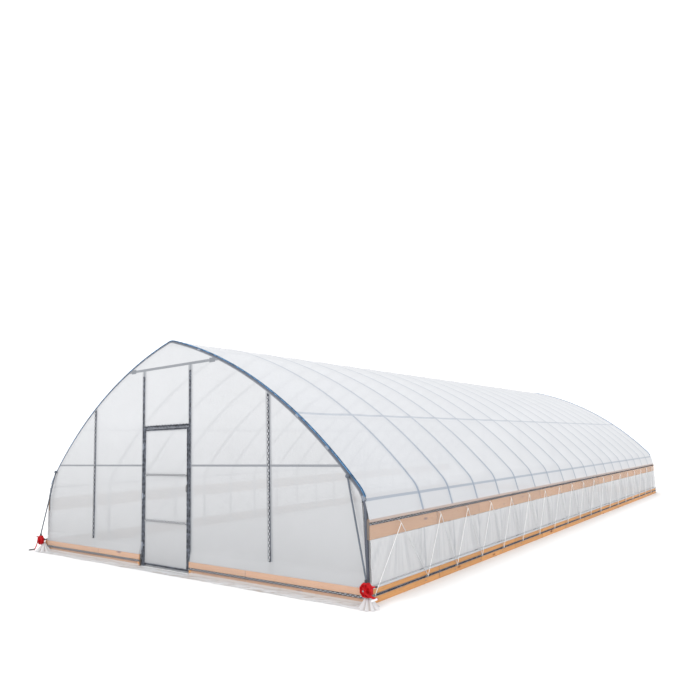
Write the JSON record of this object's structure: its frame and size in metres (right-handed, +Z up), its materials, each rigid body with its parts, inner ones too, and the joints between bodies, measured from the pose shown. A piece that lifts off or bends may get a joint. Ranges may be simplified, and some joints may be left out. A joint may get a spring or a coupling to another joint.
{
  "type": "polytunnel greenhouse",
  "caption": "Gothic-arch film greenhouse tunnel on a steel hoop frame, with timber base and hip boards, roll-up side curtains and a hinged end door.",
  "frame": {"origin": "on the ground in the middle of the tunnel", "axes": "+X across the tunnel to the right seen from the front, +Y along the tunnel from the front end to the rear, +Z up"},
  "size_m": [7.9775, 16.757, 3.5831],
  "materials": {
    "galvanised_steel": "hot-dip galvanised tube, dull grey",
    "aluminium_channel": "mill-finish lock channel",
    "pine_board": "planed softwood, untreated",
    "greenhouse_film": "translucent white greenhouse film",
    "winder_red": "red enamel",
    "white_rope": "white braided rope",
    "dark_latch": "black coated steel"
  },
  "bodies": {
    "tunnel": {"arch_lock_channels": "aluminium_channel", "curtain_ropes": "white_rope", "end_base_boards": "pine_board", "front_film_left": "greenhouse_film", "front_film_over_door": "greenhouse_film", "front_film_right": "greenhouse_film", "front_lock_channels": "aluminium_channel", "front_posts": "galvanised_steel", "front_rails": "galvanised_steel", "front_skirt": "greenhouse_film", "guide_poles": "galvanised_steel", "hip_boards": "pine_board", "hoop_01": "galvanised_steel", "hoop_02": "galvanised_steel", "hoop_03": "galvanised_steel", "hoop_04": "galvanised_steel", "hoop_05": "galvanised_steel", "hoop_06": "galvanised_steel", "hoop_07": "galvanised_steel", "hoop_08": "galvanised_steel", "hoop_09": "galvanised_steel", "hoop_10": "galvanised_steel", "hoop_11": "galvanised_steel", "hoop_12": "galvanised_steel", "hoop_13": "galvanised_steel", "hoop_14": "galvanised_steel", "hoop_15": "galvanised_steel", "hoop_16": "galvanised_steel", "hoop_17": "galvanised_steel", "hoop_18": "galvanised_steel", "hoop_19": "galvanised_steel", "hoop_20": "galvanised_steel", "post_hinges": "galvanised_steel", "purlins": "galvanised_steel", "rear_film": "greenhouse_film", "rear_lock_channel": "aluminium_channel", "rear_posts": "galvanised_steel", "rear_rails": "galvanised_steel", "rear_skirt": "greenhouse_film", "roll_tubes": "galvanised_steel", "roof_film": "greenhouse_film", "side_base_boards": "pine_board", "side_curtain_left": "greenhouse_film", "side_curtain_right": "greenhouse_film", "side_lock_channels": "aluminium_channel", "wind_braces": "galvanised_steel", "winder_left": "winder_red", "winder_right": "winder_red"},
    "door": {"door_frame": "galvanised_steel", "door_film": "greenhouse_film", "door_channels": "aluminium_channel", "door_hinges": "galvanised_steel", "door_latch": "dark_latch"}
  },
  "joints": [
    {"name": "door_swing", "type": "hinge", "parent": "tunnel", "child": "door", "pos_m": [-0.677, -8.1156, 1.11], "axis": [0, 0, -1], "range_deg": [0, 110]}
  ]
}
